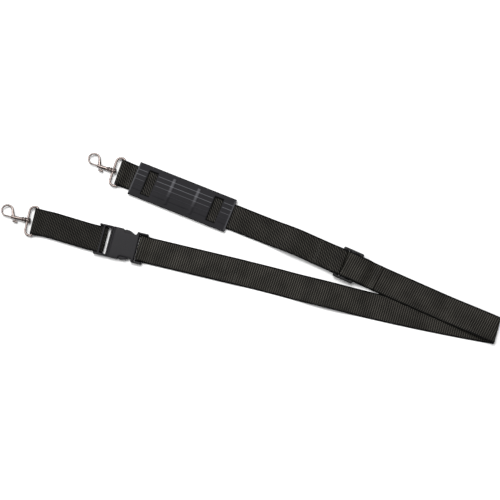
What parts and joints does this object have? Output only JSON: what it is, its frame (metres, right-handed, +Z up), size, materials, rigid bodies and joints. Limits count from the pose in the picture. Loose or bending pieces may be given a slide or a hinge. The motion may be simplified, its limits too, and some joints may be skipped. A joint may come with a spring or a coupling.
{
  "type": "instrument shoulder strap",
  "caption": "Webbing shoulder strap with a swivel bolt snap at each end, rubber shoulder pad, slide adjuster and side-release buckle, lying doubled back.",
  "frame": {"origin": "centre of the strap's bounding box in plan, on the surface it lies on", "axes": "+X towards the rolled fold, +Y towards the arm with the shoulder pad, +Z up from the surface"},
  "size_m": [0.7114, 0.2762, 0.0104],
  "materials": {
    "webbing": "black twill-woven polypropylene webbing",
    "thread": "black sewing thread",
    "pad_rubber": "moulded dark grey rubber with a soft satin skin",
    "buckle_plastic": "moulded dark grey acetal, fine satin",
    "adjuster_plastic": "moulded black acetal, semi-gloss",
    "nickel_plate": "bright nickel plate over cast zinc",
    "spring_steel": "bare spring wire"
  },
  "bodies": {
    "strap": {"main_strap": "webbing", "pad_strap": "webbing", "slide_adjuster": "adjuster_plastic", "buckle_female": "buckle_plastic", "adjuster_end_stitching": "thread", "buckle_end_stitching": "thread", "hem_stitching": "thread", "loop_end_stitching": "thread"},
    "pad": {"shoulder_pad": "pad_rubber"},
    "loop_a": {"swivel_loop_a": "nickel_plate"},
    "hook_a": {"snap_hook_a": "nickel_plate", "swivel_rivet_a": "nickel_plate", "bolt_spring_a": "spring_steel"},
    "bolt_a": {"snap_bolt_a": "nickel_plate", "thumb_stud_a": "nickel_plate"},
    "male": {"buckle_male": "buckle_plastic", "short_strap": "webbing", "short_loop_stitching": "thread", "short_male_stitching": "thread"},
    "prong_rear": {"buckle_prong_rear": "buckle_plastic"},
    "prong_front": {"buckle_prong_front": "buckle_plastic"},
    "loop_b": {"swivel_loop_b": "nickel_plate"},
    "hook_b": {"snap_hook_b": "nickel_plate", "swivel_rivet_b": "nickel_plate", "bolt_spring_b": "spring_steel"},
    "bolt_b": {"snap_bolt_b": "nickel_plate", "thumb_stud_b": "nickel_plate"}
  },
  "joints": [
    {"name": "pad_slide", "type": "slide", "parent": "strap", "child": "pad", "axis": [0.9272, -0.3746, 0], "range_m": [-0.003, 0.05]},
    {"name": "buckle_draw", "type": "slide", "parent": "strap", "child": "male", "axis": [-0.9723, 0.2336, 0], "range_m": [0, 0.045], "deforming": ["buckle_prong_rear", "buckle_prong_front"]},
    {"name": "prong_rear_squeeze", "type": "hinge", "parent": "male", "child": "prong_rear", "pos_m": [-0.19479, 0.02122, 0.0052], "axis": [0, 0, -1], "range_deg": [0, 9], "stiffness_Nm_per_rad": 0.6},
    {"name": "prong_front_squeeze", "type": "hinge", "parent": "male", "child": "prong_front", "pos_m": [-0.2011, -0.00503, 0.0052], "axis": [0, 0, 1], "range_deg": [0, 9], "stiffness_Nm_per_rad": 0.6},
    {"name": "loop_a_tilt", "type": "hinge", "parent": "strap", "child": "loop_a", "pos_m": [-0.18538, 0.10854, 0.0047], "axis": [-0.3024, -0.9532, 0], "range_deg": [-70, 70]},
    {"name": "hook_a_swivel", "type": "hinge", "parent": "loop_a", "child": "hook_a", "pos_m": [-0.19586, 0.11186, 0.0047], "axis": [-0.9532, 0.3024, 0], "continuous": true},
    {"name": "bolt_a_pull", "type": "slide", "parent": "hook_a", "child": "bolt_a", "axis": [0.9532, -0.3024, 0], "range_m": [0, 0.0076], "stiffness_N_per_m": 150, "springref_m": -0.008, "deforming": ["bolt_spring_a"]},
    {"name": "loop_b_tilt", "type": "hinge", "parent": "male", "child": "loop_b", "pos_m": [-0.30634, 0.03686, 0.0047], "axis": [-0.2063, -0.9785, 0], "range_deg": [-70, 70]},
    {"name": "hook_b_swivel", "type": "hinge", "parent": "loop_b", "child": "hook_b", "pos_m": [-0.3171, 0.03913, 0.0047], "axis": [-0.9785, 0.2063, 0], "continuous": true},
    {"name": "bolt_b_pull", "type": "slide", "parent": "hook_b", "child": "bolt_b", "axis": [0.9785, -0.2063, 0], "range_m": [0, 0.0076], "stiffness_N_per_m": 150, "springref_m": -0.008, "deforming": ["bolt_spring_b"]}
  ],
  "couplings": [
    {"joint": "prong_front_squeeze", "follows": "prong_rear_squeeze", "ratio": 1}
  ]
}
